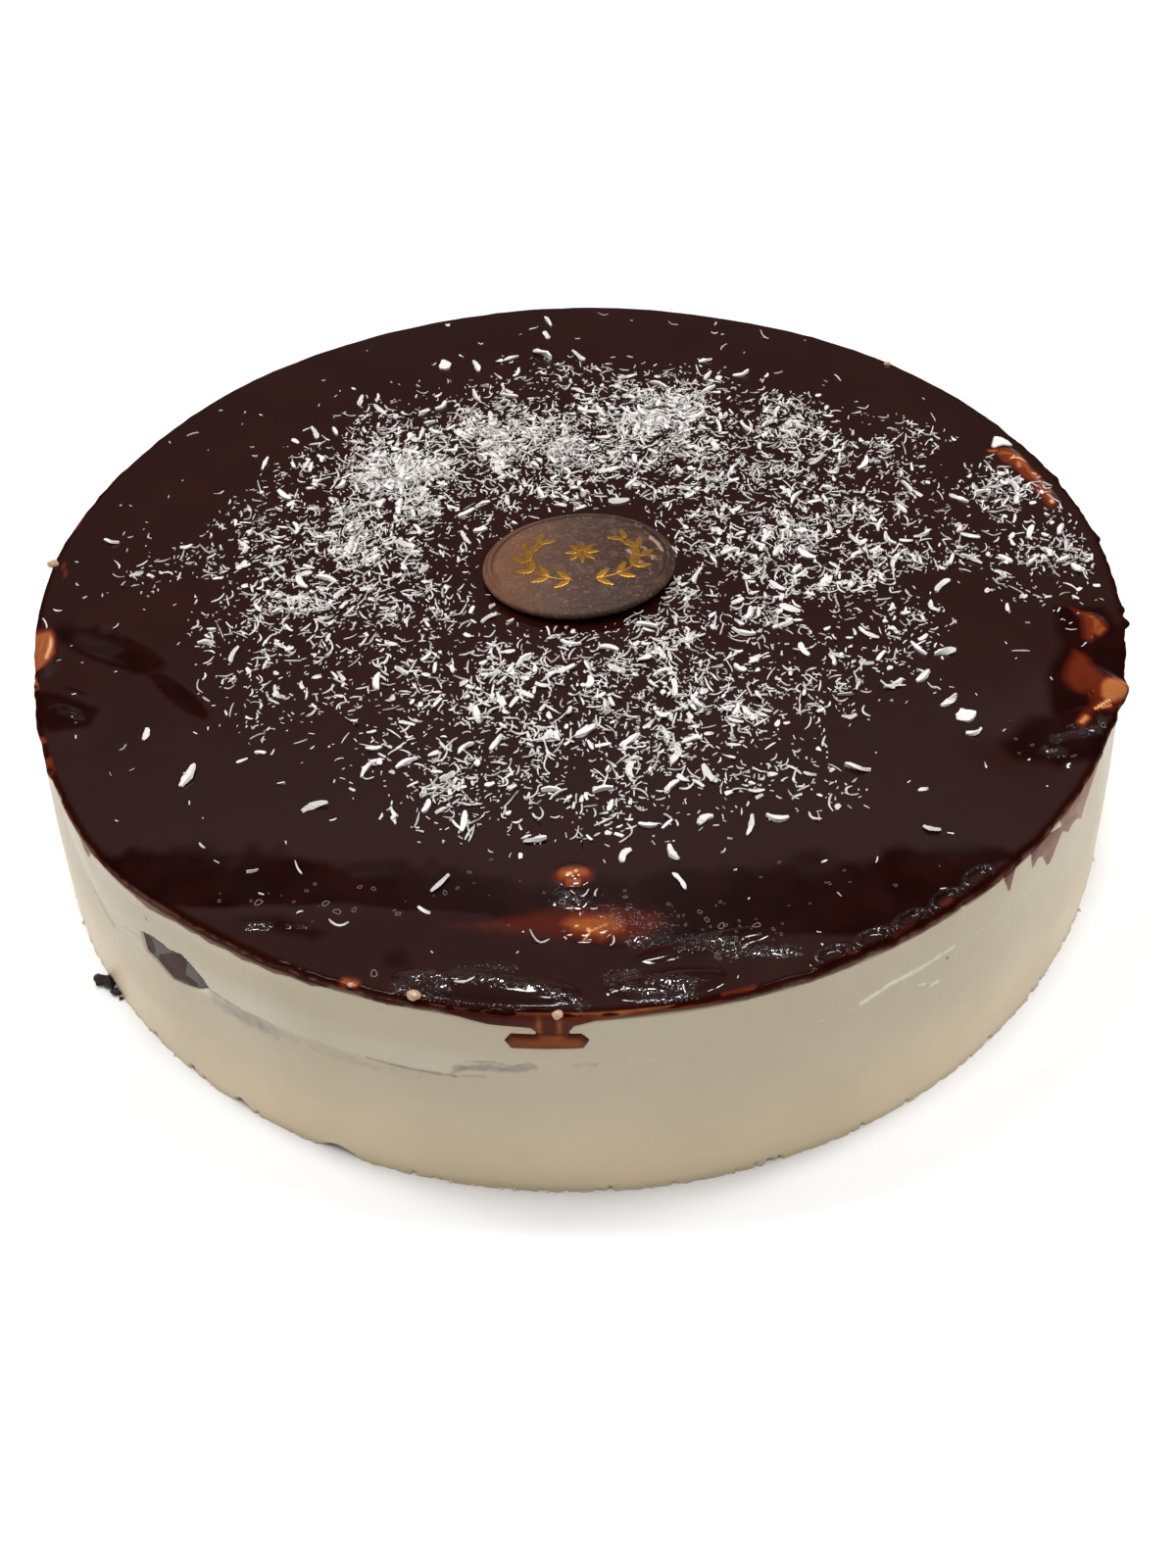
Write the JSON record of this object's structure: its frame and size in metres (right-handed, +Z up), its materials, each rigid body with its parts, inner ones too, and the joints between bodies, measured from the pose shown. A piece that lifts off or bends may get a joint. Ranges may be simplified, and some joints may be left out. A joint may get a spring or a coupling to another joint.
{
  "type": "cheesecake",
  "caption": "Tall round cheesecake with a pale cream side, a glossy dark chocolate glaze, scattered white coconut shreds and a plain domed oval chocolate plaque.",
  "frame": {"origin": "centre of the flat base, where the cake rests", "axes": "+Z up; -Y is the front, where the glaze has run over the rim; +X is to the right seen from the front"},
  "size_m": [0.2656, 0.2657, 0.0609],
  "materials": {
    "cream": "smooth set cream, pale ivory, with a soft satin shine and fine smears",
    "glaze": "poured dark chocolate glaze, mirror gloss, caramel brown where it is thin, white coconut shreds on it",
    "plaque_chocolate": "moulded chocolate, dull and scuffed, paler brown at its left end, worn shiny at its right",
    "shard_chocolate": "broken dark chocolate, partly veiled by a thin film of cream"
  },
  "bodies": {
    "root": {"cream_body": "cream", "glaze": "glaze", "plaque": "plaque_chocolate", "side_shard": "shard_chocolate"}
  },
  "joints": []
}
